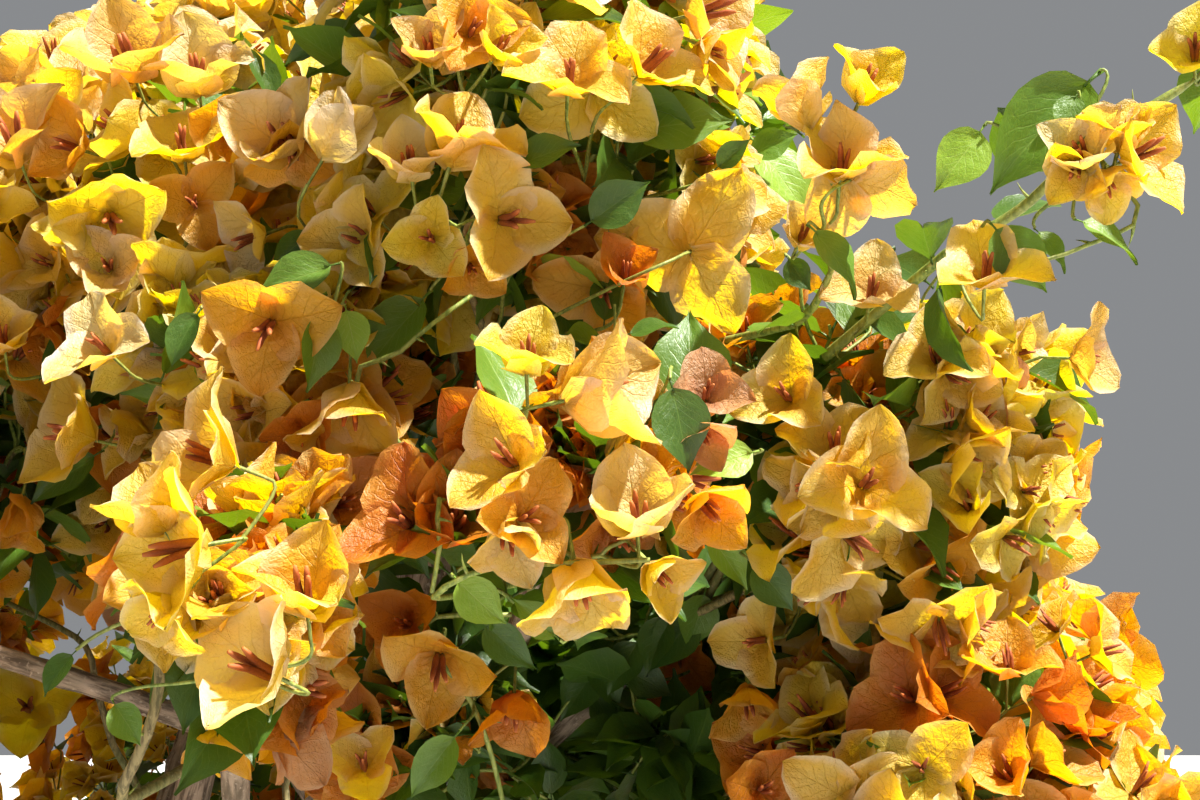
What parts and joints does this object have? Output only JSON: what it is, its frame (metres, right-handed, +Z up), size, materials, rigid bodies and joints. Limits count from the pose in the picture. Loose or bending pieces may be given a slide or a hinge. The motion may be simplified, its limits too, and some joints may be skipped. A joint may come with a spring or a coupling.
{
  "type": "bougainvillea bush",
  "caption": "Broad flowering bush on a short forked trunk: upright stems, side boughs, a shell of leafy masses and long shoots that end in sprays of papery golden bracts.",
  "frame": {"origin": "middle of the flat cut under the trunk, at ground level", "axes": "+Z up; -Y towards the side that the picture shows; +X to the right in that view"},
  "size_m": [1.59, 1.4503, 1.501],
  "materials": {
    "bark": "rough furrowed bark",
    "green_wood": "smooth green shoots",
    "leaves": "satin",
    "bracts": "thin and papery"
  },
  "bodies": {
    "root": {"trunk": "bark", "stem_front_right": "bark", "stem_top": "bark", "stem_left": "bark", "stem_back": "bark", "stem_front": "bark", "bough_left_upper": "bark", "bough_left_middle": "bark", "bough_left_front": "bark", "bough_front_left": "bark", "bough_front_centre": "bark", "bough_lower_centre": "bark", "bough_right_middle": "bark", "bough_right_lower": "bark", "bough_side_right": "bark", "bough_back_right": "bark", "bough_side_left": "bark", "bough_back_left": "bark", "bough_skirt_front": "bark", "bough_skirt_centre": "bark", "bough_skirt_corner": "bark", "bough_skirt_back": "bark", "bough_skirt_right": "bark", "bough_skirt_left": "bark", "shoot_right": "green_wood", "shoot_right_upper": "green_wood", "shoot_left": "green_wood", "shoot_back": "green_wood", "shoot_front": "green_wood", "mass_top": "leaves", "mass_front_top": "leaves", "mass_left_upper": "leaves", "mass_left_middle": "leaves", "mass_left_front": "leaves", "mass_front_centre": "leaves", "mass_front_left": "leaves", "mass_inner_front": "leaves", "mass_lower_centre": "leaves", "mass_right_middle": "leaves", "mass_right_lower": "leaves", "mass_crown_left": "leaves", "mass_crown_back": "leaves", "mass_back_right": "leaves", "mass_side_right": "leaves", "mass_side_left": "leaves", "mass_back_left": "leaves", "mass_skirt_front": "leaves", "mass_skirt_centre": "leaves", "mass_skirt_corner": "leaves", "mass_skirt_back": "leaves", "mass_skirt_right": "leaves", "mass_skirt_left": "leaves", "spray_right_upper": "bracts", "spray_right_shoot": "bracts", "spray_right_tip": "bracts", "spray_right_under": "bracts", "spray_left_tip": "bracts", "spray_back_tip": "bracts", "spray_front_tip": "bracts"}
  },
  "joints": []
}
